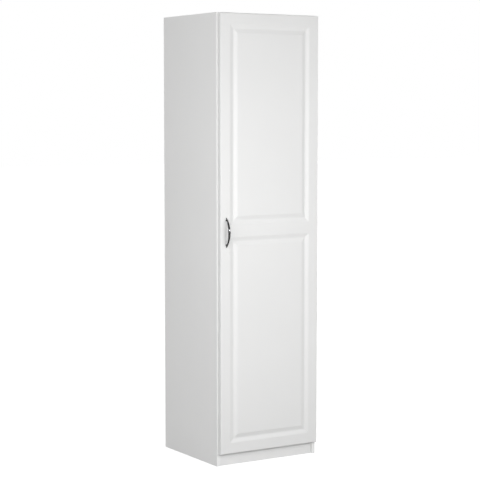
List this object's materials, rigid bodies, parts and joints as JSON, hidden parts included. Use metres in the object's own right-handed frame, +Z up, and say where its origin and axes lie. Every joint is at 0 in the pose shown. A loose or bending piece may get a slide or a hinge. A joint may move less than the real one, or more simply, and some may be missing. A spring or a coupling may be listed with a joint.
{
  "type": "storage cabinet",
  "caption": "Tall white free-standing storage cabinet with a single raised-field door on concealed hinges, a bow pull, a toe kick and adjustable shelves on pins.",
  "frame": {"origin": "on the floor, under the middle of the overall box (pull to back sheets)", "axes": "+X to the right seen from the front, +Y to the back, +Z up; the door faces -Y"},
  "size_m": [0.467, 0.471, 1.78],
  "materials": {
    "white_board": "white melamine faced particleboard, satin",
    "white_door": "white foil-wrapped fibreboard, satin",
    "hardboard": "brown hardboard, matt",
    "pull_metal": "polished black nickel",
    "hinge_steel": "nickel-plated pressed steel",
    "pin_steel": "nickel-plated, satin",
    "screw_zinc": "zinc-plated",
    "cam_zinc": "die-cast zinc, dull",
    "dowel_wood": "raw beech",
    "bumper_clear": "clear soft plastic",
    "bracket_steel": "zinc-plated sheet"
  },
  "bodies": {
    "carcass": {"left_side_panel": "white_board", "right_side_panel": "white_board", "top_panel": "white_board", "bottom_panel": "white_board", "fixed_shelf": "white_board", "toe_kick": "white_board", "lower_back_sheet": "hardboard", "upper_back_sheet": "hardboard", "back_nails": "screw_zinc", "cam_locks": "cam_zinc", "cam_bolts": "screw_zinc", "wood_dowels": "dowel_wood", "shelf_pins": "pin_steel", "hinge_plate_1": "hinge_steel", "hinge_plate_2": "hinge_steel", "hinge_plate_3": "hinge_steel", "hinge_arm_1": "hinge_steel", "hinge_arm_2": "hinge_steel", "hinge_arm_3": "hinge_steel", "plate_screws": "screw_zinc", "arm_screws": "screw_zinc", "arm_pins": "pin_steel", "wall_bracket": "bracket_steel", "bracket_screws": "screw_zinc"},
    "hinge_links": {"hinge_link_1": "hinge_steel", "hinge_link_2": "hinge_steel", "hinge_link_3": "hinge_steel"},
    "door": {"door_slab": "white_door", "bow_pull": "pull_metal", "pull_screws": "screw_zinc", "door_bumpers": "bumper_clear", "hinge_cup_1": "hinge_steel", "hinge_cup_2": "hinge_steel", "hinge_cup_3": "hinge_steel", "cup_screws": "screw_zinc", "cup_pins": "pin_steel"},
    "shelf_1": {"adjustable_shelf_1": "white_board"},
    "shelf_2": {"adjustable_shelf_2": "white_board"},
    "shelf_3": {"adjustable_shelf_3": "white_board"},
    "shelf_4": {"adjustable_shelf_4": "white_board"}
  },
  "joints": [
    {"name": "hinge_link_swing", "type": "hinge", "parent": "carcass", "child": "hinge_links", "pos_m": [0.2045, -0.1875, 0], "axis": [0, 0, 1], "range_deg": [-20, 0]},
    {"name": "door_swing", "type": "hinge", "parent": "hinge_links", "child": "door", "pos_m": [0.2222, -0.1955, 0], "axis": [0, 0, 1], "range_deg": [0, 120]},
    {"name": "shelf_1_lift", "type": "slide", "parent": "carcass", "child": "shelf_1", "axis": [0, 0, 1], "range_m": [0, 0.03]},
    {"name": "shelf_2_lift", "type": "slide", "parent": "carcass", "child": "shelf_2", "axis": [0, 0, 1], "range_m": [0, 0.03]},
    {"name": "shelf_3_lift", "type": "slide", "parent": "carcass", "child": "shelf_3", "axis": [0, 0, 1], "range_m": [0, 0.03]},
    {"name": "shelf_4_lift", "type": "slide", "parent": "carcass", "child": "shelf_4", "axis": [0, 0, 1], "range_m": [0, 0.03]}
  ],
  "couplings": [
    {"joint": "hinge_link_swing", "follows": "door_swing", "ratio": -0.1666}
  ]
}
